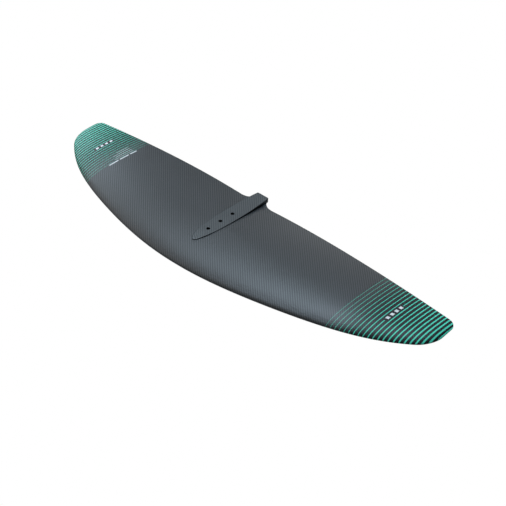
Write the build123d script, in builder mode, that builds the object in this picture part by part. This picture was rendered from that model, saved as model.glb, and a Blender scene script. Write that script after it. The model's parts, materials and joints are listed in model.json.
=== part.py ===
"""Front wing of a hydrofoil: two carbon skins over a cored spar, with a bolted mounting pad.

Frame: the origin is the middle bolt hole, on the flat top of the mounting pad. +X runs to the
port tip, +Y aft along the pad, +Z up, square to the pad. All sizes are in millimetres.
"""

from build123d import *
from math import cos, hypot, pi, radians, sin, sqrt, tan
import os

# ---- Planform, with u = |x| / HALF_SPAN -----------------------------------------------------
HALF_SPAN = 482.5
LEADING_EDGE = (-134.5, 220.0, -189.0, 215.5, -58.5)  # y = a0 + a1 u^2 + a2 u^4 + a3 u^6 + a4 u^8
TRAILING_EDGE = (101.0, 30.5, -7.0)  # y = b0 + b1 u + b2 u^2
DROOP = (-46.0, 11.5)  # z = c0 u^2 + c1 u^4, so the tips hang below the root
FRONT_CORNER = 25.0  # radius of the tip's corner at the leading edge
REAR_CORNER = 17.0  # radius of the tip's corner at the trailing edge

# ---- Section --------------------------------------------------------------------------------
THICKNESS_FORM = (0.2969, -0.1260, -0.3516, 0.2843, -0.1036)  # of sqrt(s), s, s^2, s^3 and s^4
FORM_SCALE = 5.0  # turns the form's sum into half the thickness
ROOT_THICKNESS = 0.12  # thickness over chord
TIP_THICKNESS = 0.118
CAMBER = 0.008  # over chord
CAMBER_PEAK = 0.4  # where the camber is highest, as a part of the chord
INCIDENCE = -3.7  # root chord against the pad's top face in degrees, nose up is positive
WASHOUT = -1.3  # twist of the tip against the root, degrees
WING_DROP = 17.2  # from the pad's top face down to the root chord line
EDGE_THICKNESS = 1.2  # of the trailing edge
TIP_ROUNDING = 12.5  # the sections thin out over this length of span at each tip
TIP_EDGE = 0.3  # thickness left at the very tip, as a part of the full section's

# ---- Laminates and core ---------------------------------------------------------------------
SKIN = 1.2
SPAR_CAP = 1.5
CAP_BAND = (0.18, 0.36)  # chordwise reach of the spar caps, as parts of the chord
CAP_SETBACK = 8.0  # the caps and webs stop this far short of the tip plugs
SPAR_SPACE_BAND = (0.09, 0.504)  # reach of the space between the caps, wider than they are
WEB_BAND = (0.26, 0.29)
CORE_BAND = (0.05, 0.80)  # foam and root block, between the two edge strips
HOLLOW_TAIL = 0.88  # the skins lie on each other behind this part of the chord
HOLLOW_REACH = 0.93  # and outside this part of the half span
CORE_REACH = 0.87  # foam ends here, and the tip plug fills the rest
ROOT_BLOCK = 45.0  # half width of the solid block round the bolts

# ---- Mounting pad ---------------------------------------------------------------------------
PAD_SIDE = ((3.8, -75.2), (7.2, -70.0), (12.0, -56.0), (15.2, -40.0), (18.4, -2.0), (18.5, 70.0))
PAD_FRONT = -77.0  # y of the rounded front
PAD_REAR = 123.0
PAD_REAR_HALF_WIDTH = 14.5
PAD_FLAT_FRONT = -42.0  # the top face is flat behind this, and dips towards the skin before it
PAD_DIP = 3.0
PAD_CORNER = 3.0
PAD_RIM = 0.6
WEB_RADIUS = 26.0  # concave plan radius between the trailing edge and the tail block
WEB_HALF_WIDTH = 38.0
WEB_REAR = 117.5
FILLER_LENGTH = (60.0, 118.0)  # from and to, along y
FILLER_HALF_WIDTH = 10.5
FILLER_DEPTH = 2.0  # laminate over the filler

# ---- Bolts ----------------------------------------------------------------------------------
BOLT_SPACING = 34.0
BOLT_HOLE = 6.6  # clearance for M6
HEAD_DIAMETER = 12.6  # countersink for an M6 flat head
HEAD_ANGLE = 90.0
SLEEVE_DIAMETER = 16.0

# ---- Resolution of the lofts ----------------------------------------------------------------
STATIONS = 14  # sections on each half of the span
CONTOUR_POINTS = 14  # points on each side of a section
BAND_STEPS = 8  # points along the edges of a band
TALL = 80.0  # reach of cutting solids above and below the wing
BEYOND = 20.0  # reach of cutting solids past the wing's edges
OVERRUN = 1.0  # reach of cutting outlines past the pad's ends
LAP = 3.0  # the tail block and its web run this far into the wing before it is cut out of them


def planform(x):
    """y of the leading and the trailing edge at span station x."""
    u = abs(x) / HALF_SPAN
    lead = sum(a * u ** (2 * i) for i, a in enumerate(LEADING_EDGE))
    trail = sum(b * u**i for i, b in enumerate(TRAILING_EDGE))
    return lead + corner_setback(x, FRONT_CORNER), trail - corner_setback(x, REAR_CORNER)


def corner_setback(x, radius):
    """How far a quarter-round tip corner pulls the edge in at station x."""
    k = max(0.0, 1 - (HALF_SPAN - abs(x)) / radius)
    return radius * (1 - sqrt(1 - k * k))


def camber_line(s):
    """Camber over chord at the part s of the chord."""
    p = CAMBER_PEAK
    if s < p:
        return CAMBER * (2 * p * s - s * s) / p**2
    return CAMBER * (1 - 2 * p + 2 * p * s - s * s) / (1 - p) ** 2


def surface_point(x, way):
    """(y, z) on the section at x. way runs from -1 at the lower trailing edge, through 0 at the
    nose, to 1 at the upper trailing edge, and its square is the part of the chord."""
    lead, trail = planform(x)
    chord = trail - lead
    u = abs(x) / HALF_SPAN
    s = way**2
    run_in = min(1.0, (HALF_SPAN - abs(x)) / TIP_ROUNDING)
    rounding = TIP_EDGE + (1 - TIP_EDGE) * sqrt(1 - (1 - run_in) ** 2)
    thickness = (ROOT_THICKNESS + (TIP_THICKNESS - ROOT_THICKNESS) * u) * chord
    form = sum(c * term for c, term in zip(THICKNESS_FORM, (abs(way), s, s**2, s**3, s**4)))
    half = rounding * (FORM_SCALE * thickness * form + EDGE_THICKNESS / 2 * s)
    pivot = lead + CAMBER_PEAK * chord
    aft = lead + s * chord - pivot
    rise = camber_line(s) * chord + (half if way > 0 else -half)
    angle = radians(INCIDENCE + WASHOUT * u)
    droop = DROOP[0] * u**2 + DROOP[1] * u**4
    y = pivot + aft * cos(angle) + rise * sin(angle)
    z = droop - WING_DROP - aft * sin(angle) + rise * cos(angle)
    return y, z


def inset_point(x, way, inset):
    """The surface point moved inward by inset, square to the section's outline."""
    y, z = surface_point(x, way)
    if inset == 0:
        return y, z
    step = 0.001
    y0, z0 = surface_point(x, way - step)
    y1, z1 = surface_point(x, way + step)
    length = hypot(y1 - y0, z1 - z0)
    return y + inset * (z1 - z0) / length, z - inset * (y1 - y0) / length


def chord_height(y):
    """z of the root chord line at y."""
    lead, trail = planform(0)
    pivot = lead + CAMBER_PEAK * (trail - lead)
    return -WING_DROP - (y - pivot) * sin(radians(INCIDENCE)) / cos(radians(INCIDENCE))


def span_stations(reach):
    """Span stations out to reach, closer together towards the tips."""
    half = [reach * sin(pi / 2 * i / STATIONS) for i in range(STATIONS + 1)]
    return [-x for x in reversed(half[1:])] + half


def section_curve(points):
    """Smooth curve through evenly numbered points, so that every section's curve is alike."""
    last = len(points) - 1
    return Edge.make_spline([Vector(*p) for p in points], parameters=[i / last for i in range(last + 1)])


def wing_loft(inset, reach, tail):
    """Solid inside the inset surface, closed by a flat face at the part tail of the chord."""
    end = sqrt(tail)
    ways = [end * i / CONTOUR_POINTS for i in range(-CONTOUR_POINTS, CONTOUR_POINTS + 1)]
    with BuildPart() as body:
        for x in span_stations(reach):
            outline = [inset_point(x, way, inset) for way in ways]
            with BuildSketch(Plane.YZ.offset(x)):
                with BuildLine():
                    add(section_curve(outline))
                    Line(outline[-1], outline[0])
                make_face()
        loft()
    return body.part


def spar_space():
    """Solid between the two spar caps, and a little wider than they are along the chord."""
    inset = SKIN + SPAR_CAP
    first = sqrt(SPAR_SPACE_BAND[0])
    last = sqrt(SPAR_SPACE_BAND[1])
    ways = [first + (last - first) * i / CONTOUR_POINTS for i in range(CONTOUR_POINTS + 1)]
    with BuildPart() as body:
        for x in span_stations(HOLLOW_REACH * HALF_SPAN):
            with BuildSketch(Plane.YZ.offset(x)):
                with BuildLine():
                    upper = section_curve([inset_point(x, way, inset) for way in ways])
                    lower = section_curve([inset_point(x, -way, inset) for way in ways])
                    add(upper)
                    add(lower)
                    Line(upper @ 0, lower @ 0)
                    Line(upper @ 1, lower @ 1)
                make_face()
        loft()
    return body.part


def space_above_chord():
    """Everything above the surface that joins the leading and the trailing edge."""
    ends = [(-HALF_SPAN, -BEYOND), (HALF_SPAN, BEYOND)]
    places = ends[:1] + [(x, 0.0) for x in span_stations(HALF_SPAN)] + ends[1:]
    with BuildPart() as space:
        for x, shift in places:
            nose = Vector(*surface_point(x, 0))
            tail = (Vector(*surface_point(x, 1)) + Vector(*surface_point(x, -1))) * 0.5
            reach = (tail - nose).normalized() * BEYOND
            front = nose - reach
            rear = tail + reach
            with BuildSketch(Plane.YZ.offset(x + shift)):
                with BuildLine():
                    Polyline(front, rear, rear + Vector(0, TALL), front + Vector(0, TALL), close=True)
                make_face()
        loft()
    return space.part


def cut_to_band(volume, band, x_range):
    """The part of volume between two chordwise fractions and two span stations."""
    length = x_range[1] - x_range[0]
    xs = [x_range[0] + length * i / BAND_STEPS for i in range(BAND_STEPS + 1)]

    def line_of(fraction):
        edges = [planform(x) for x in xs]
        return [(x, lead + fraction * (trail - lead)) for x, (lead, trail) in zip(xs, edges)]

    front = line_of(band[0])
    rear = line_of(band[1])
    with BuildPart() as piece:
        add(volume)
        with BuildSketch(Plane.XY.offset(-TALL)):
            with BuildLine():
                Spline(*front)
                Line(front[-1], rear[-1])
                Spline(*rear)
                Line(front[0], rear[0])
            make_face()
        extrude(amount=2 * TALL, mode=Mode.INTERSECT)
    return piece.part


def finish(part, name):
    """Label a finished piece and write it out."""
    part.label = name
    export_step(part, f"parts/{name}.step")


os.makedirs("parts", exist_ok=True)

# ---- Shared volumes: the whole wing, the hollow in it, and the space between the spar caps ---
outer = wing_loft(0.0, HALF_SPAN, 1.0)
hollow = wing_loft(SKIN, HOLLOW_REACH * HALF_SPAN, HOLLOW_TAIL)
between_caps = spar_space()
above = space_above_chord()

BOLT_PLACES = [(0, -BOLT_SPACING), (0, 0), (0, BOLT_SPACING)]
CORE_END = CORE_REACH * HALF_SPAN
CAP_END = CORE_END - CAP_SETBACK
FULL_CHORD = (-0.1, 1.1)  # a band wider than the chord at both ends
SIDES = {"left": 1, "right": -1}

# ---- Bolt sleeves: trimmed flush with both skins, countersunk from below -----------------------
with BuildPart() as sleeve_space:
    with BuildSketch(Plane.XY.offset(-TALL)):
        with Locations(*BOLT_PLACES):
            Circle(SLEEVE_DIAMETER / 2)
    extrude(amount=2 * TALL)
    add(outer, mode=Mode.INTERSECT)

with BuildPart() as bolt_sleeves:
    add(sleeve_space.part)
    with BuildSketch(Plane.XY.offset(-TALL)):
        with Locations(*BOLT_PLACES):
            Circle(BOLT_HOLE / 2)
    extrude(amount=2 * TALL, mode=Mode.SUBTRACT)
    for place in BOLT_PLACES:
        seat = min(v.Z for v in bolt_sleeves.vertices() if abs(v.Y - place[1]) < SLEEVE_DIAMETER)
        depth = HEAD_DIAMETER / 2 / tan(radians(HEAD_ANGLE / 2))
        with Locations((*place, seat)):
            Cone(
                HEAD_DIAMETER / 2,
                0,
                depth,
                align=(Align.CENTER, Align.CENTER, Align.MIN),
                mode=Mode.SUBTRACT,
            )
finish(bolt_sleeves.part, "bolt_sleeves")

# ---- Mounting pad, with the tail block behind the trailing edge, and its filler -----------------
tail_y, web_top = surface_point(0, 1)
web_base = surface_point(0, -1)[1]

with BuildPart() as pad_body:
    with BuildSketch(Plane.XY) as pad_plan:
        with BuildLine():
            rear = (PAD_REAR_HALF_WIDTH, PAD_REAR)
            Spline((0, PAD_FRONT), *PAD_SIDE, rear)
            Line(rear, (0, PAD_REAR))
            mirror(about=Plane.YZ)
        make_face()
        fillet(pad_plan.vertices().group_by(Axis.Y)[-1].filter_by(lambda v: abs(v.X) > 1), PAD_CORNER)
    extrude(amount=-TALL / 2)
    fillet(pad_body.faces().sort_by(Axis.Z)[-1].edges(), PAD_RIM)
    with BuildSketch(Plane.YZ) as pad_profile:
        with BuildLine():
            flat_front = (PAD_FLAT_FRONT, 0)
            nose_top = (PAD_FRONT - OVERRUN, -PAD_DIP)
            nose_base = (PAD_FRONT - OVERRUN, chord_height(PAD_FRONT))
            step_top = (tail_y - LAP, chord_height(tail_y))
            step_base = (tail_y - LAP, web_base)
            back = PAD_REAR + OVERRUN
            TangentArc(flat_front, nose_top, tangent=(-1, 0))
            Polyline(nose_top, nose_base, step_top, step_base, (back, web_base), (back, 0), flat_front)
        make_face()
    extrude(amount=2 * WEB_HALF_WIDTH, both=True, mode=Mode.INTERSECT)

with BuildPart() as pad_filler:
    add(pad_body.part)
    with BuildSketch(Plane.XY.offset(web_top)):
        with Locations((0, sum(FILLER_LENGTH) / 2)):
            Rectangle(2 * FILLER_HALF_WIDTH, FILLER_LENGTH[1] - FILLER_LENGTH[0])
    extrude(amount=-web_top - FILLER_DEPTH, mode=Mode.INTERSECT)
    add(outer, mode=Mode.SUBTRACT)
finish(pad_filler.part, "pad_filler")

with BuildPart() as mounting_pad:
    add(pad_body.part)
    with BuildSketch(Plane.XY.offset(web_base)):
        with Locations((0, (WEB_REAR + tail_y - LAP) / 2)):
            Rectangle(2 * WEB_HALF_WIDTH, WEB_REAR - tail_y + LAP)
        hollow_y = planform(WEB_HALF_WIDTH)[1] + WEB_RADIUS
        with Locations((-WEB_HALF_WIDTH, hollow_y), (WEB_HALF_WIDTH, hollow_y)):
            Circle(WEB_RADIUS, mode=Mode.SUBTRACT)
    extrude(amount=web_top - web_base)
    add(outer, mode=Mode.SUBTRACT)
    add(pad_filler.part, mode=Mode.SUBTRACT)
    with BuildSketch(Plane.XY):
        with Locations(*BOLT_PLACES):
            Circle(BOLT_HOLE / 2)
    extrude(amount=-TALL / 2, mode=Mode.SUBTRACT)
finish(mounting_pad.part, "mounting_pad")

# ---- Skins ------------------------------------------------------------------------------------
with BuildPart() as upper_skin:
    add(outer)
    add(above, mode=Mode.INTERSECT)
    add(hollow, mode=Mode.SUBTRACT)
    add(sleeve_space.part, mode=Mode.SUBTRACT)
finish(upper_skin.part, "upper_skin")

with BuildPart() as lower_skin:
    add(outer)
    add(above, mode=Mode.SUBTRACT)
    add(hollow, mode=Mode.SUBTRACT)
    add(sleeve_space.part, mode=Mode.SUBTRACT)
finish(lower_skin.part, "lower_skin")

# ---- Spar: a cap under each skin, and a web between them outside the root block ----------------
spar_zone = cut_to_band(hollow, CAP_BAND, (-CAP_END, CAP_END))

with BuildPart() as upper_spar_cap:
    add(spar_zone)
    add(above, mode=Mode.INTERSECT)
    add(between_caps, mode=Mode.SUBTRACT)
finish(upper_spar_cap.part, "upper_spar_cap")

with BuildPart() as lower_spar_cap:
    add(spar_zone)
    add(above, mode=Mode.SUBTRACT)
    add(between_caps, mode=Mode.SUBTRACT)
finish(lower_spar_cap.part, "lower_spar_cap")

for side, sign in SIDES.items():
    web_span = sorted((sign * ROOT_BLOCK, sign * CAP_END))
    finish(cut_to_band(between_caps, WEB_BAND, web_span), f"shear_web_{side}")

# ---- Root block: solid laminate round the bolts, under the pad ----------------------------------
with BuildPart() as root_block:
    add(cut_to_band(hollow, CORE_BAND, (-ROOT_BLOCK, ROOT_BLOCK)))
    for neighbour in (upper_spar_cap, lower_spar_cap, sleeve_space):
        add(neighbour.part, mode=Mode.SUBTRACT)
finish(root_block.part, "root_block")

# ---- Foam cores, edge strips and tip plugs --------------------------------------------------------
for side, sign in SIDES.items():
    core_span = sorted((sign * ROOT_BLOCK, sign * CORE_END))
    half_span = sorted((0.0, sign * CORE_END))
    tip_span = sorted((sign * CORE_END, sign * HALF_SPAN))

    for name, band in (
        ("nose_core", (CORE_BAND[0], WEB_BAND[0])),
        ("tail_core", (WEB_BAND[1], CORE_BAND[1])),
    ):
        with BuildPart() as core:
            add(cut_to_band(hollow, band, core_span))
            add(upper_spar_cap.part, mode=Mode.SUBTRACT)
            add(lower_spar_cap.part, mode=Mode.SUBTRACT)
        finish(core.part, f"{name}_{side}")

    finish(cut_to_band(hollow, (FULL_CHORD[0], CORE_BAND[0]), half_span), f"leading_edge_strip_{side}")
    finish(cut_to_band(hollow, (CORE_BAND[1], FULL_CHORD[1]), half_span), f"trailing_edge_strip_{side}")
    finish(cut_to_band(hollow, FULL_CHORD, tip_span), f"tip_plug_{side}")
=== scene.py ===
import json
from math import cos, pi, radians, sin, sqrt

import bmesh
import bpy
from mathutils import Matrix, Vector

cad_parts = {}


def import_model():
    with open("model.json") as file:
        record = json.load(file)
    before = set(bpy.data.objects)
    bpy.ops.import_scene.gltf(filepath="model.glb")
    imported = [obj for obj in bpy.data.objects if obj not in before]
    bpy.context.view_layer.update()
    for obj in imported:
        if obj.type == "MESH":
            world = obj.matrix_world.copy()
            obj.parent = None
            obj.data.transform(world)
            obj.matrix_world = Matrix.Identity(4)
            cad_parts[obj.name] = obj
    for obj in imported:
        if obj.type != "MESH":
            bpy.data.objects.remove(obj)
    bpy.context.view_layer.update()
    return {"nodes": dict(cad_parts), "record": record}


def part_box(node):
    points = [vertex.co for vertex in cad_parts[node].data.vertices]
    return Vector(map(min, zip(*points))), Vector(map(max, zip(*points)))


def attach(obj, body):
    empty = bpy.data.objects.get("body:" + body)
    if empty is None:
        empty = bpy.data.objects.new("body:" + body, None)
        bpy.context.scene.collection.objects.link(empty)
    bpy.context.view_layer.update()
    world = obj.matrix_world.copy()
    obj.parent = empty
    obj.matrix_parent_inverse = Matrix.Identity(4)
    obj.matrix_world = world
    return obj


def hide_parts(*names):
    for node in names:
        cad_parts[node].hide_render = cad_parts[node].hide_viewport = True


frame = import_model()

# Looks of the hydrofoil front wing. Blender units are metres; the wing's own sizes are named here in
# millimetres, as on the drawing, and MM turns them into metres.
MM = 0.001

# ---- The wing's outer surface, with u = |x| / HALF_SPAN ------------------------------------------
HALF_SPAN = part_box("upper_skin")[1].x / MM
LEADING_EDGE = (-134.5, 220.0, -189.0, 215.5, -58.5)  # y = a0 + a1 u^2 + a2 u^4 + a3 u^6 + a4 u^8
TRAILING_EDGE = (101.0, 30.5, -7.0)  # y = b0 + b1 u + b2 u^2
DROOP = (-46.0, 11.5)  # z = c0 u^2 + c1 u^4
FRONT_CORNER = 25.0  # radius of the tip's front corner
REAR_CORNER = 17.0
THICKNESS_FORM = (0.2969, -0.1260, -0.3516, 0.2843, -0.1036)  # of sqrt(s), s, s^2, s^3 and s^4
FORM_SCALE = 5.0  # turns the form's sum into half the thickness
ROOT_THICKNESS = 0.12  # thickness over chord
TIP_THICKNESS = 0.118
CAMBER = 0.008  # over chord
CAMBER_PEAK = 0.4  # where the camber is highest, as a part of the chord
INCIDENCE = -3.7  # root chord against the pad's top face in degrees, nose up is positive
WASHOUT = -1.3  # twist of the tip against the root, degrees
WING_DROP = 17.2  # from the pad's top face down to the root chord's pivot
EDGE_THICKNESS = 1.2  # of the trailing edge
TIP_ROUNDING = 12.5  # the thickness runs in over this last part of the span
TIP_EDGE = 0.3  # thickness left at the very tip, as a part of the full section's
SKIN = 1.2  # laminate thickness

# ---- Mesh resolution ------------------------------------------------------------------------------
SPAN_STEPS = 84  # on each half of the span
CHORD_STEPS = 44
SLEEVE_SEGMENTS = 64
SMOOTH_BELOW = radians(40)  # edges that turn more than this stay sharp

# ---- Bolt sleeves ---------------------------------------------------------------------------------
OUTER_BOLTS = next(m for m in frame["record"]["mounts"] if m["name"] == "fuselage_bolts")
BOLT_SPACING = OUTER_BOLTS["dims"]["spacing_y_mm"] / 2  # the third hole is half way between these two
BOLT_RADIUS = OUTER_BOLTS["dims"]["hole_r_mm"]
SLEEVE_DIAMETER = 16.0
DRILL_LENGTH = 120.0  # well past both skins
BORE_SHADE = 0.5  # how far the painted shade of a bore reaches past its wall
RIM_WIDTH = 2.4  # of the painted shade line round the pad's top
FLAT_FROM = (0.90, 0.9995)  # z of the normal for the painted shade: below the first all wall, above the second all top
# painted shade: the part of the cloth's brightness left on the pad's walls
WALL_SHADE = 0.38

# ---- Cloth and paint ------------------------------------------------------------------------------
TOW = 1.5125  # width of one tow of the 2x2 twill
TOW_CROWN = 0.11  # height of a tow's crown over the gaps
TOW_PAINTED_SHEEN = (-0.18, 0.20)  # painted sheen: added to the brightness of tows along the span, and of tows along the chord
TOW_GLOSS = (-0.17, 0.17)  # added to their gloss, in the same order
TOW_ROUGHNESS = (0.47, 0.41)
CLOTH_RELIEF = 0.6  # the part of TOW_CROWN that the clear coat leaves
CLOTH_GLOSS = 0.5
CLOTH_GRAIN = 0.4  # how far the fibres draw a highlight out
COAT = 0.35
COAT_ROUGHNESS = (0.28, 0.36)
PAINT_RELIEF = 0.1
PAINT_GLOSS = 0.35
PAINT_ROUGHNESS = 0.42
STRIPE_START = 320.0  # |x| of the first pinstripe
STRIPE_PITCH = 7.745
STRIPE_COUNT = 20
STRIPE_WIDTHS = (0.4, 3.0)  # of the first and of the last pinstripe
STRIPE_BLUR = 0.25  # softness of a pinstripe's edges
EDGE_BAND = 480.3  # the tip is plain green outside this |x|
TIP_ZONE = STRIPE_START - 10.0  # the cloth gets calmer and darker outboard of this |x|,
FULL_CALM = STRIPE_START + 30.0  # is as calm as it gets from here on
FULL_DIM = STRIPE_START + 60.0  # and as dark as it gets from here on
TIP_CONTRAST = 0.45  # what is left of the difference between tows at the tips
TIP_GLOSS = 0.5  # of the gloss
TIP_DIM = 0.60  # and of the brightness
CARBON = (0.028, 0.0315, 0.035)
PAD_PAINTED_LIGHT = (1.55, 1.6, 1.55)  # painted light: the pad's cloth is made this much lighter than the skin's
# painted shade colour of the bolt holes
BORE_SHADE_COLOUR = (0.002, 0.002, 0.002)
GREEN = (0.100, 0.800, 0.560)
WHITE = (0.85, 0.87, 0.88)

# ---- Plain marks, as (low, high) of the span station and (low, high) of the part of the chord ------
MARK_FIELD = ((383.5, 396.0), (0.34, 0.72))  # the pinstripes stop here
BADGE_BARS = [((386.8, 392.8), (start, start + 0.048)) for start in (0.38, 0.47, 0.56, 0.65)]
HEADING_BARS = [((313.6, 317.0), span) for span in ((0.345, 0.49), (0.51, 0.65), (0.67, 0.775))]
LINE_STARTS = {322: 0.46, 328: 0.50, 334: 0.48, 340: 0.56}  # part of the chord, by span station
LINE_BARS = [((x, x + 1.6), (start, 0.755)) for x, start in LINE_STARTS.items()]
HEADING_INK = 0.75  # how much of the white covers the cloth
LINE_INK = 0.45

# ---- Light ----------------------------------------------------------------------------------------
LAMP_SIZE = 1.1
LAMP_DISTANCE = 2.6
COOL = (0.69, 0.855, 1.0)
NEUTRAL = (1.0, 1.0, 1.0)
LAMPS = (  # name, azimuth, elevation, power in watts, colour
    ("stern_top", 180, 75, 27.9, COOL),
    ("bow_top", 0, 75, 11.4, COOL),
    ("starboard_quarter", 240, 58, 11.5, COOL),
    ("starboard_low", 250, 12, 9.8, COOL),
    ("stern_low", 200, 20, 6.7, NEUTRAL),
)
SKY_DIRECTION = (-0.75, -0.35, 0.56)  # towards the brightest part of the surroundings
SKY_STRENGTH = 0.97
SKY_COLOUR = (1.0, 0.99, 0.965)
FLOOR_LEVEL = -0.9
FLOOR_HALF_SIZE = 60.0
FLOOR_GREY = (0.55, 0.55, 0.55, 1)

# ---- Camera ---------------------------------------------------------------------------------------
CAMERA_PLACE = (1.5681, -1.6871, 1.6946)
CAMERA_AZIMUTH = 41.28
CAMERA_ELEVATION = 37.54
CAMERA_ROLL = 2.374
CAMERA_LENS = 105.2
CAMERA_SENSOR = 36.0
CAMERA_REACH = 200.0


# ==== Shape ========================================================================================
def planform(x):
    """y of the leading and the trailing edge at span station x."""
    u = abs(x) / HALF_SPAN
    lead = sum(a * u ** (2 * i) for i, a in enumerate(LEADING_EDGE))
    trail = sum(b * u**i for i, b in enumerate(TRAILING_EDGE))
    return lead + corner_setback(x, FRONT_CORNER), trail - corner_setback(x, REAR_CORNER)


def corner_setback(x, radius):
    """How far a quarter-round tip corner pulls the edge in at station x."""
    k = max(0.0, 1 - (HALF_SPAN - abs(x)) / radius)
    return radius * (1 - sqrt(max(0.0, 1 - k * k)))


def camber_line(s):
    """Camber over chord at the part s of the chord."""
    p = CAMBER_PEAK
    if s < p:
        return CAMBER * (2 * p * s - s * s) / p**2
    return CAMBER * (1 - 2 * p + 2 * p * s - s * s) / (1 - p) ** 2


def surface_point(x, way, side):
    """Point on the upper (side 1) or lower (side -1) surface; way squared is the part of the chord."""
    lead, trail = planform(x)
    chord = trail - lead
    u = abs(x) / HALF_SPAN
    s = way**2
    run_in = min(1.0, (HALF_SPAN - abs(x)) / TIP_ROUNDING)
    rounding = TIP_EDGE + (1 - TIP_EDGE) * sqrt(max(0.0, 1 - (1 - run_in) ** 2))
    thickness = (ROOT_THICKNESS + (TIP_THICKNESS - ROOT_THICKNESS) * u) * chord
    form = sum(c * term for c, term in zip(THICKNESS_FORM, (way, s, s**2, s**3, s**4)))
    half = rounding * (FORM_SCALE * thickness * form + EDGE_THICKNESS / 2 * s)
    pivot = lead + CAMBER_PEAK * chord
    aft = lead + s * chord - pivot
    rise = camber_line(s) * chord + side * half
    angle = radians(INCIDENCE + WASHOUT * u)
    droop = DROOP[0] * u**2 + DROOP[1] * u**4
    y = pivot + aft * cos(angle) + rise * sin(angle)
    z = droop - WING_DROP - aft * sin(angle) + rise * cos(angle)
    return Vector((x, y, z))


def skin_shell(name, side):
    """Closed laminate shell of one side: outer surface, inner surface, trailing edge and tips.

    Its uv map "cloth" unrolls the section, so that the weave runs round the nose without stretching;
    the map "place" holds the span station over the half span, and the part of the chord.
    """
    stations = [HALF_SPAN * sin(pi / 2 * i / SPAN_STEPS) for i in range(-SPAN_STEPS, SPAN_STEPS + 1)]
    ways = [j / CHORD_STEPS for j in range(CHORD_STEPS + 1)]
    mesh = bmesh.new()
    outer, inner, cloth, place = [], [], {}, {}
    for x in stations:
        row = [surface_point(x, way, side) for way in ways]
        mid_row = [(point + surface_point(x, way, -side)) / 2 for point, way in zip(row, ways)]
        outer_row = [mesh.verts.new(point * MM) for point in row]
        inner_row = [outer_row[0]]
        for point, middle in zip(row[1:], mid_row[1:]):
            reach = min(1.0, SKIN / (middle - point).length)
            inner_row.append(mesh.verts.new((point + (middle - point) * reach) * MM))
        unrolled = row[-1].y
        for j in range(CHORD_STEPS, -1, -1):
            if j < CHORD_STEPS:
                unrolled -= (row[j + 1] - row[j]).length
            for vertex in (outer_row[j], inner_row[j]):
                cloth[vertex] = (x * MM, unrolled * MM)
                place[vertex] = (x / HALF_SPAN, ways[j] ** 2)
        outer.append(outer_row)
        inner.append(inner_row)

    def face(*corners):
        loop = [v for k, v in enumerate(corners) if v is not corners[k - 1]]
        mesh.faces.new(loop if side > 0 else loop[::-1])

    for i in range(len(stations) - 1):
        for j in range(CHORD_STEPS):
            face(outer[i][j], outer[i + 1][j], outer[i + 1][j + 1], outer[i][j + 1])
            face(inner[i][j + 1], inner[i + 1][j + 1], inner[i + 1][j], inner[i][j])
        face(outer[i][-1], outer[i + 1][-1], inner[i + 1][-1], inner[i][-1])
    for j in range(CHORD_STEPS):
        face(outer[0][j], outer[0][j + 1], inner[0][j + 1], inner[0][j])
        face(outer[-1][j + 1], outer[-1][j], inner[-1][j], inner[-1][j + 1])

    for title, values in (("cloth", cloth), ("place", place)):
        layer = mesh.loops.layers.uv.new(title)
        for polygon in mesh.faces:
            for loop in polygon.loops:
                loop[layer].uv = values[loop.vert]
    return new_object(name, mesh)


def new_object(name, mesh):
    """A scene object from a bmesh, smooth but for its sharp edges."""
    data = bpy.data.meshes.new(name)
    mesh.to_mesh(data)
    mesh.free()
    data.shade_smooth()
    data.set_sharp_from_angle(angle=SMOOTH_BELOW)
    thing = bpy.data.objects.new(name, data)
    bpy.context.scene.collection.objects.link(thing)
    return thing


def drill_sleeve_holes(shell):
    """Cuts the three round holes that the bolt sleeves fill."""
    mesh = bmesh.new()
    for step in (-1, 0, 1):
        bmesh.ops.create_cone(
            mesh,
            cap_ends=True,
            segments=SLEEVE_SEGMENTS,
            radius1=SLEEVE_DIAMETER / 2 * MM,
            radius2=SLEEVE_DIAMETER / 2 * MM,
            depth=DRILL_LENGTH * MM,
            matrix=Matrix.Translation((0, step * BOLT_SPACING * MM, 0)),
        )
    drill = new_object("drill", mesh)
    cut = shell.modifiers.new("sleeve_holes", "BOOLEAN")
    cut.operation = "DIFFERENCE"
    cut.solver = "EXACT"
    cut.object = drill
    bpy.context.view_layer.update()
    evaluated = shell.evaluated_get(bpy.context.evaluated_depsgraph_get())
    drilled = bpy.data.meshes.new_from_object(evaluated)
    shell.modifiers.clear()
    shell.data = drilled
    bpy.data.objects.remove(drill)
    drilled.set_sharp_from_angle(angle=SMOOTH_BELOW)


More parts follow.
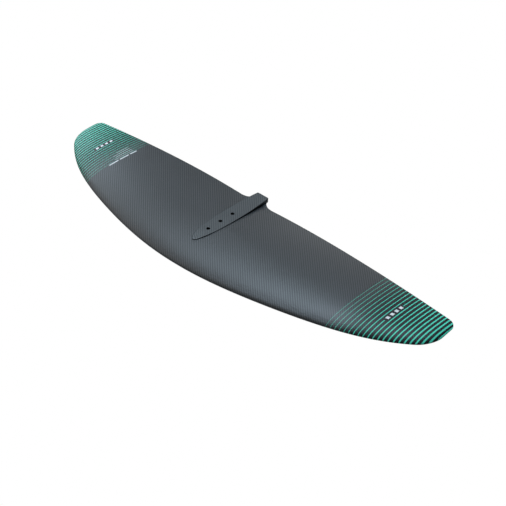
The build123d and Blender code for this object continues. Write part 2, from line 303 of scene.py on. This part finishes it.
# ==== Materials ====================================================================================
class Graph:
    """A short way to write a material's nodes as expressions."""

    def __init__(self, name):
        self.material = bpy.data.materials.new(name)
        self.material.use_nodes = True
        self.tree = self.material.node_tree
        self.shader = self.tree.nodes["Principled BSDF"]

    def node(self, kind, **values):
        made = self.tree.nodes.new(kind)
        for key, value in values.items():
            setattr(made, key, value)
        return made

    def put(self, socket, value):
        """Links a socket or sets a plain value."""
        if isinstance(value, bpy.types.NodeSocket):
            self.tree.links.new(value, socket)
        else:
            socket.default_value = value

    def set(self, **values):
        """Sets the shader's inputs; an underscore stands for a space."""
        for key, value in values.items():
            self.put(self.shader.inputs[key.replace("_", " ")], value)

    def math(self, operation, *operands):
        made = self.node("ShaderNodeMath", operation=operation)
        for socket, value in zip(made.inputs, operands):
            self.put(socket, value)
        return made.outputs[0]

    def add(self, a, b):
        return self.math("ADD", a, b)

    def minus(self, a, b):
        return self.math("SUBTRACT", a, b)

    def times(self, a, b):
        return self.math("MULTIPLY", a, b)

    def between(self, value, low, high):
        """1 where low < value < high."""
        return self.times(self.math("GREATER_THAN", value, low), self.math("LESS_THAN", value, high))

    def remap(self, value, low, high, to_low, to_high):
        made = self.node("ShaderNodeMapRange", interpolation_type="SMOOTHSTEP")
        for socket, number in zip(made.inputs, (value, low, high, to_low, to_high)):
            self.put(socket, number)
        return made.outputs[0]

    def blend(self, share, a, b):
        """Number a where share is 0, number b where it is 1."""
        made = self.node("ShaderNodeMix", data_type="FLOAT")
        for socket, value in zip(made.inputs[:1] + made.inputs[2:4], (share, a, b)):  # factor, number A and B
            self.put(socket, value)
        return made.outputs[0]

    def tint(self, share, a, b, blend_type="MIX"):
        """Colour a where share is 0, colour b where it is 1."""
        made = self.node("ShaderNodeMix", data_type="RGBA", blend_type=blend_type)
        for socket, value in zip(made.inputs[:1] + made.inputs[6:8], (share, a, b)):  # factor, colour A and B
            self.put(socket, value if isinstance(value, (float, bpy.types.NodeSocket)) else (*value, 1.0))
        return made.outputs[2]

    def split(self, vector):
        made = self.node("ShaderNodeSeparateXYZ")
        self.put(made.inputs[0], vector)
        return made.outputs[0], made.outputs[1], made.outputs[2]

    def join(self, x, y, z=0.0):
        made = self.node("ShaderNodeCombineXYZ")
        for socket, value in zip(made.inputs, (x, y, z)):
            self.put(socket, value)
        return made.outputs[0]

    def noise(self, vector, scale, detail=2.0, roughness=0.5):
        made = self.node("ShaderNodeTexNoise")
        wanted = {"Vector": vector, "Scale": scale, "Detail": detail, "Roughness": roughness}
        for key, value in wanted.items():
            self.put(made.inputs[key], value)
        return made.outputs["Fac"]

    def cells(self, vector, scale, feature="F1"):
        made = self.node("ShaderNodeTexVoronoi", feature=feature)
        self.put(made.inputs["Vector"], vector)
        self.put(made.inputs["Scale"], scale)
        return made.outputs["Distance"]

    def bump(self, height, distance, strength=1.0):
        made = self.node("ShaderNodeBump")
        wanted = {"Height": height, "Distance": distance, "Strength": strength}
        for key, value in wanted.items():
            self.put(made.inputs[key], value)
        return made.outputs["Normal"]

    def mixed(self, share, first, second):
        """Shader node first where share is 0, second where it is 1."""
        made = self.node("ShaderNodeMixShader")
        for socket, value in zip(made.inputs, (share, first.outputs[0], second.outputs[0])):
            self.put(socket, value)
        return made

    def uv(self, name):
        return self.node("ShaderNodeUVMap", uv_map=name).outputs[0]

    def object_place(self):
        return self.node("ShaderNodeTexCoord").outputs["Object"]


def twill(g, u, v):
    """2x2 twill of tows along u and v, in metres. Returns which tow is on top, its height, the gap beside it,
    which cloth_tone paints dark as shade, and the streaks of its fibres."""
    a = g.times(u, 1 / (TOW * MM))
    b = g.times(v, 1 / (TOW * MM))
    column = g.math("FLOOR", a)
    row = g.math("FLOOR", b)
    over = g.math("LESS_THAN", g.math("FLOORED_MODULO", g.add(column, row), 4.0), 2.0)
    across = g.blend(over, g.minus(b, row), g.minus(a, column))
    along_chord = g.math("FLOORED_MODULO", g.add(b, column), 4.0)
    along_span = g.minus(g.math("FLOORED_MODULO", g.add(a, row), 4.0), 2.0)
    along = g.times(g.blend(over, along_span, along_chord), 0.5)
    crown = g.math("SINE", g.times(across, pi))
    rise = g.math("SINE", g.times(along, pi))
    height = g.times(crown, g.add(0.45, g.times(rise, 0.55)))
    gap = g.remap(crown, 0.0, 0.35, 1.0, 0.0)
    fibres = g.join(g.times(g.blend(over, b, a), 9.0), g.times(g.blend(over, a, b), 0.35), over)
    streaks = g.noise(fibres, 1.0, detail=3.0)
    return over, height, gap, streaks


def pinstripes(g, span_place):
    """Mask of the green pinstripes, from the span station over the half span."""
    distance = g.times(g.math("ABSOLUTE", span_place), HALF_SPAN)
    steps = g.times(g.minus(distance, STRIPE_START), 1 / STRIPE_PITCH)
    nearest = g.math("ROUND", steps)
    off = g.times(g.math("ABSOLUTE", g.minus(steps, nearest)), STRIPE_PITCH)
    share = g.times(nearest, 1 / STRIPE_COUNT)
    half_width = g.times(g.blend(share, STRIPE_WIDTHS[0], STRIPE_WIDTHS[1]), 0.5)
    line = g.remap(g.minus(off, half_width), -STRIPE_BLUR, STRIPE_BLUR, 1.0, 0.0)
    line = g.times(line, g.between(nearest, -0.5, STRIPE_COUNT + 0.5))
    return g.math("MAXIMUM", line, g.math("GREATER_THAN", distance, EDGE_BAND))


def bars(g, along, across, places):
    """Mask of plain rectangles, each (low, high) along and (low, high) across."""
    mask = None
    for (a0, a1), (c0, c1) in places:
        one = g.times(g.between(along, a0, a1), g.between(across, c0, c1))
        mask = one if mask is None else g.math("MAXIMUM", mask, one)
    return mask


def pad_painted_shade(g):
    """Mask of painted shade: 1 on the pad's flat top, less on its walls and along its rim, the less their
    normal points up.
    """
    rim = g.node("ShaderNodeBevel", samples=8)
    rim.inputs["Radius"].default_value = RIM_WIDTH * MM
    up = g.split(rim.outputs[0])[2]
    return g.remap(up, *FLAT_FROM, WALL_SHADE, 1.0)


def bolt_axis_distance(g, x, y):
    """Distance from the nearest bolt axis in metres, and that axis' number along the pad."""
    steps = g.math("ROUND", g.times(y, 1 / (BOLT_SPACING * MM)))
    near_y = g.minus(y, g.times(steps, BOLT_SPACING * MM))
    return g.math("SQRT", g.add(g.times(x, x), g.times(near_y, near_y))), steps


def bolt_bore_shade(g):
    """Mask of painted shade: 0 inside the three bolt holes and a little past their walls, 1 elsewhere."""
    x, y, _ = g.split(g.object_place())
    distance, _ = bolt_axis_distance(g, x, y)
    hole = g.math("LESS_THAN", distance, (BOLT_RADIUS + BORE_SHADE) * MM)
    near = g.math("LESS_THAN", g.math("ABSOLUTE", y), 1.5 * BOLT_SPACING * MM)
    return g.minus(1.0, g.times(hole, near))


def cloth_tone(g, u, v, weave, contrast):
    """Brightness of the cloth: by tow, by the tow's height, by fibre and by larger patches. The difference
    between tows is painted sheen; the darker flanks, dips and gaps of the tows are painted shade.
    """
    over, height, gap, streaks = weave
    patches = g.noise(g.join(u, v), 14.0, detail=3.0)
    # painted sheen: one way of tow lighter than the other
    tone = g.add(1.0, g.times(contrast, g.blend(over, *TOW_PAINTED_SHEEN)))
    # painted shade: darker down the tows' flanks and where they dip
    tone = g.times(tone, g.remap(height, 0.0, 1.0, 0.84, 1.10))
    tone = g.times(tone, g.remap(streaks, 0.2, 0.8, 0.82, 1.18))
    tone = g.times(tone, g.remap(patches, 0.3, 0.7, 0.97, 1.03))
    # painted shade in the gaps between tows
    tone = g.times(tone, g.blend(gap, 1.0, 0.7))
    return g.tint(1.0, g.join(tone, tone, tone), CARBON, "MULTIPLY")


def printed_marks(g, colour, station, span_place, chord_place):
    """Plain white bars: one badge on each tip, and a small block on the starboard side only."""
    colour = g.tint(bars(g, station, chord_place, BADGE_BARS), colour, WHITE)
    starboard = g.times(span_place, -HALF_SPAN)
    heading = g.times(bars(g, starboard, chord_place, HEADING_BARS), HEADING_INK)
    lines = g.times(bars(g, starboard, chord_place, LINE_BARS), LINE_INK)
    return g.tint(g.math("MAXIMUM", heading, lines), colour, WHITE)


def carbon(name, coordinates, painted=False, marked=False, bored=False):
    """Twill carbon laminate under a satin clear coat, with the tip paint where it is painted."""
    g = Graph(name)
    u, v = coordinates(g)
    weave = twill(g, u, v)
    over, height, _, _ = weave
    contrast = 1.0
    if painted:
        span_place, chord_place, _ = g.split(g.uv("place"))
        station = g.times(g.math("ABSOLUTE", span_place), HALF_SPAN)
        contrast = g.remap(station, TIP_ZONE, FULL_CALM, 1.0, TIP_CONTRAST)
    colour = cloth_tone(g, u, v, weave, contrast)
    roughness = g.blend(over, *TOW_ROUGHNESS)
    relief = CLOTH_RELIEF
    gloss = g.add(CLOTH_GLOSS, g.times(contrast, g.blend(over, *TOW_GLOSS)))
    grain = CLOTH_GRAIN
    coat = COAT
    if bored:
        shade = g.times(pad_painted_shade(g), bolt_bore_shade(g))
        # painted light: the pad's cloth is made lighter than the skin's
        colour = g.tint(1.0, colour, PAD_PAINTED_LIGHT, "MULTIPLY")
        # painted shade: the pad's walls, rim and bolt holes are darkened, with less coat and gloss there
        colour = g.tint(shade, BORE_SHADE_COLOUR, colour)
        coat = g.times(shade, coat)
        gloss = g.times(shade, gloss)
    if painted:
        paint = pinstripes(g, span_place)
        dim = g.remap(station, TIP_ZONE, FULL_DIM, 1.0, TIP_DIM)
        colour = g.tint(1.0, g.join(dim, dim, dim), colour, "MULTIPLY")
        if marked:
            clear = g.times(g.between(station, *MARK_FIELD[0]), g.between(chord_place, *MARK_FIELD[1]))
            paint = g.times(paint, g.minus(1.0, clear))
        colour = g.tint(paint, colour, GREEN)
        roughness = g.blend(paint, roughness, PAINT_ROUGHNESS)
        relief = g.blend(paint, relief, PAINT_RELIEF)
        calm = g.remap(station, TIP_ZONE, FULL_DIM, 1.0, TIP_GLOSS)
        gloss = g.times(calm, g.blend(paint, gloss, PAINT_GLOSS))
        coat = g.times(calm, coat)
        grain = g.blend(paint, grain, 0.0)
        if marked:
            colour = printed_marks(g, colour, station, span_place, chord_place)
    smudges = g.noise(g.join(u, v), 5.0, detail=4.0)
    g.set(
        Base_Color=colour,
        Roughness=roughness,
        Specular_IOR_Level=gloss,
        Anisotropic=grain,
        Anisotropic_Rotation=g.blend(over, 0.0, 0.25),
        Normal=g.bump(height, TOW_CROWN * MM, relief),
        Coat_Weight=coat,
        Coat_Roughness=g.remap(smudges, 0.3, 0.7, *COAT_ROUGHNESS),
        Coat_IOR=1.5,
    )
    return g.material


def cloth_map(g):
    """Cloth coordinates of a skin."""
    u, v, _ = g.split(g.uv("cloth"))
    return u, v


def pad_map(g):
    """Cloth coordinates on the pad: flat on top, and folded down over its sides."""
    x, y, z = g.split(g.object_place())
    fold = g.times(g.math("SIGN", x), z)
    return g.minus(x, fold), y


def anodised_sleeve():
    """Black anodised aluminium with fine turning rings round each bolt axis."""
    g = Graph("anodised_sleeve")
    x, y, z = g.split(g.object_place())
    distance, steps = bolt_axis_distance(g, x, y)
    rings = g.noise(g.join(g.times(distance, 9000.0), g.times(z, 1500.0), steps), 1.0, detail=2.0)
    blotches = g.noise(g.object_place(), 300.0)
    g.set(
        Base_Color=g.tint(rings, (0.020, 0.021, 0.023), (0.050, 0.051, 0.055)),
        Metallic=0.6,
        Roughness=g.add(g.remap(rings, 0.3, 0.7, 0.30, 0.44), g.times(blotches, 0.06)),
        Normal=g.bump(rings, 0.02 * MM, 0.4),
    )
    return g.material


def spar_laminate():
    """Unidirectional carbon with its fibres along the span."""
    g = Graph("spar_laminate")
    x, y, z = g.split(g.object_place())
    fibres = g.noise(g.join(g.times(x, 18.0), g.times(y, 2600.0), g.times(z, 2600.0)), 1.0, detail=3.0)
    stitches = g.math("LESS_THAN", g.math("FLOORED_MODULO", x, 12.0 * MM), 0.5 * MM)
    colour = g.tint(fibres, (0.018, 0.019, 0.021), (0.085, 0.088, 0.094))
    g.set(
        Base_Color=g.tint(g.times(stitches, 0.6), colour, (0.45, 0.45, 0.42)),
        Roughness=g.remap(fibres, 0.3, 0.7, 0.42, 0.58),
        Normal=g.bump(fibres, 0.04 * MM, 0.6),
    )
    return g.material


def glass_filler():
    """Milled glass and epoxy, with flecks of fibre and a few pinholes, which are painted dark as shade."""
    g = Graph("glass_filler")
    place = g.object_place()
    flecks = g.noise(place, 900.0, detail=4.0, roughness=0.7)
    clouds = g.noise(place, 60.0, detail=2.0)
    pinholes = g.remap(g.cells(place, 260.0), 0.0, 0.12, 1.0, 0.0)
    colour = g.tint(flecks, (0.52, 0.47, 0.30), (0.78, 0.74, 0.56))
    colour = g.tint(g.times(clouds, 0.35), colour, (0.60, 0.52, 0.34))
    # painted shade: the pinholes are dark
    g.set(
        Base_Color=g.tint(g.times(pinholes, 0.7), colour, (0.20, 0.17, 0.10)),
        Roughness=g.remap(flecks, 0.3, 0.7, 0.5, 0.68),
        Normal=g.bump(g.minus(flecks, pinholes), 0.06 * MM, 0.6),
    )
    return g.material


def core_foam():
    """Closed-cell foam, milled so that the cut cells show; their hollows are painted darker as shade."""
    g = Graph("core_foam")
    place = g.object_place()
    walls = g.cells(place, 1100.0, "DISTANCE_TO_EDGE")
    open_cells = g.remap(walls, 0.0, 0.22, 0.0, 1.0)
    mill_marks = g.math("SINE", g.times(g.split(place)[0], 2 * pi / (3.0 * MM)))
    # painted shade: the hollows of the cut cells are darker
    colour = g.tint(open_cells, (0.90, 0.87, 0.76), (0.72, 0.68, 0.56))
    g.set(
        Base_Color=g.tint(g.times(g.noise(place, 40.0), 0.3), colour, (0.80, 0.72, 0.52)),
        Roughness=0.85,
        Normal=g.bump(g.minus(g.times(mill_marks, 0.2), open_cells), 0.12 * MM, 0.7),
    )
    return g.material


# ==== Build ========================================================================================
def dress(thing, material):
    """Gives an object's mesh one material."""
    thing.data.materials.clear()
    thing.data.materials.append(material)


inner_materials = {
    "spar": spar_laminate(),
    "filler": glass_filler(),
    "foam": core_foam(),
    "sleeve": anodised_sleeve(),
}
for part in frame["record"]["subparts"]:
    if part["material_slot"] in inner_materials:
        dress(frame["nodes"][part["node"]], inner_materials[part["material_slot"]])
dress(frame["nodes"]["mounting_pad"], carbon("carbon_pad", pad_map, bored=True))

upper_carbon = carbon("carbon_upper", cloth_map, painted=True, marked=True)
lower_carbon = carbon("carbon_lower", cloth_map, painted=True)
for node, side, material in (("upper_skin", 1, upper_carbon), ("lower_skin", -1, lower_carbon)):
    shell = skin_shell(node + "_shell", side)
    drill_sleeve_holes(shell)
    dress(shell, material)
    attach(shell, "root")
    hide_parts(node)


# ==== Stage ========================================================================================
def floor():
    """Plain pale floor well below the wing. It shows white to the camera and grey to the wing."""
    mesh = bmesh.new()
    bmesh.ops.create_grid(mesh, x_segments=1, y_segments=1, size=FLOOR_HALF_SIZE)
    plane = new_object("floor", mesh)
    plane.location.z = FLOOR_LEVEL
    g = Graph("floor_paint")
    out = g.tree.nodes["Material Output"]
    path = g.node("ShaderNodeLightPath")
    back = g.node("ShaderNodeNewGeometry").outputs["Backfacing"]
    glow = g.node("ShaderNodeEmission")
    grey = g.node("ShaderNodeBsdfDiffuse")
    clear = g.node("ShaderNodeBsdfTransparent")
    grey.inputs["Color"].default_value = FLOOR_GREY
    top = g.mixed(path.outputs["Is Camera Ray"], grey, glow)
    g.put(out.inputs["Surface"], g.mixed(back, top, clear).outputs[0])
    plane.data.materials.append(g.material)


def world():
    """Soft studio surroundings: brightest towards SKY_DIRECTION, and white to the camera."""
    scene_world = bpy.data.worlds.new("studio")
    bpy.context.scene.world = scene_world
    scene_world.use_nodes = True
    tree = scene_world.node_tree
    background = tree.nodes["Background"]
    place = tree.nodes.new("ShaderNodeTexCoord")
    facing = tree.nodes.new("ShaderNodeVectorMath")
    facing.operation = "DOT_PRODUCT"
    facing.inputs[1].default_value = Vector(SKY_DIRECTION).normalized()
    lobe = tree.nodes.new("ShaderNodeMapRange")
    squared = tree.nodes.new("ShaderNodeMath")
    squared.operation = "POWER"
    squared.inputs[1].default_value = 2.0
    path = tree.nodes.new("ShaderNodeLightPath")
    either = tree.nodes.new("ShaderNodeMath")
    either.operation = "MAXIMUM"
    colour = tree.nodes.new("ShaderNodeMix")
    colour.data_type = "RGBA"
    colour.inputs[6].default_value = (*SKY_COLOUR, 1)
    colour.inputs[7].default_value = (1, 1, 1, 1)
    lobe.inputs["To Max"].default_value = sqrt(SKY_STRENGTH)
    tree.links.new(place.outputs["Generated"], facing.inputs[0])
    tree.links.new(facing.outputs["Value"], lobe.inputs["Value"])
    tree.links.new(lobe.outputs[0], squared.inputs[0])
    tree.links.new(squared.outputs[0], either.inputs[0])
    tree.links.new(path.outputs["Is Camera Ray"], either.inputs[1])
    tree.links.new(path.outputs["Is Camera Ray"], colour.inputs[0])
    tree.links.new(colour.outputs[2], background.inputs["Color"])
    tree.links.new(either.outputs[0], background.inputs["Strength"])


def area_light(name, azimuth, elevation, power, colour):
    """Soft square lamp facing the wing. Azimuth 0 is ahead of the nose and 90 to port."""
    az = radians(azimuth)
    el = radians(elevation)
    away = Vector((sin(az) * cos(el), -cos(az) * cos(el), sin(el)))
    data = bpy.data.lights.new(name, "AREA")
    data.size = LAMP_SIZE
    data.energy = power
    data.color = colour
    lamp = bpy.data.objects.new(name, data)
    lamp.location = away * LAMP_DISTANCE
    lamp.rotation_euler = (-away).to_track_quat("-Z", "Y").to_euler()
    bpy.context.scene.collection.objects.link(lamp)


def camera():
    """Camera above the port bow, looking down along the leading edge."""
    az = radians(CAMERA_AZIMUTH)
    el = radians(CAMERA_ELEVATION)
    roll = radians(CAMERA_ROLL)
    right = Vector((cos(az), sin(az), 0))
    ahead = Vector((-sin(az) * cos(el), cos(az) * cos(el), -sin(el)))
    up = right.cross(ahead)
    level_x = right * cos(roll) + up * sin(roll)
    level_y = up * cos(roll) - right * sin(roll)
    data = bpy.data.cameras.new("camera")
    data.lens = CAMERA_LENS
    data.sensor_width = CAMERA_SENSOR
    data.clip_end = CAMERA_REACH
    eye = bpy.data.objects.new("camera", data)
    turn = Matrix((level_x, level_y, -ahead)).transposed().to_4x4()
    eye.matrix_world = Matrix.Translation(CAMERA_PLACE) @ turn
    bpy.context.scene.collection.objects.link(eye)
    bpy.context.scene.camera = eye


floor()
world()
for lamp in LAMPS:
    area_light(*lamp)
camera()
bpy.context.scene.view_settings.view_transform = "Standard"
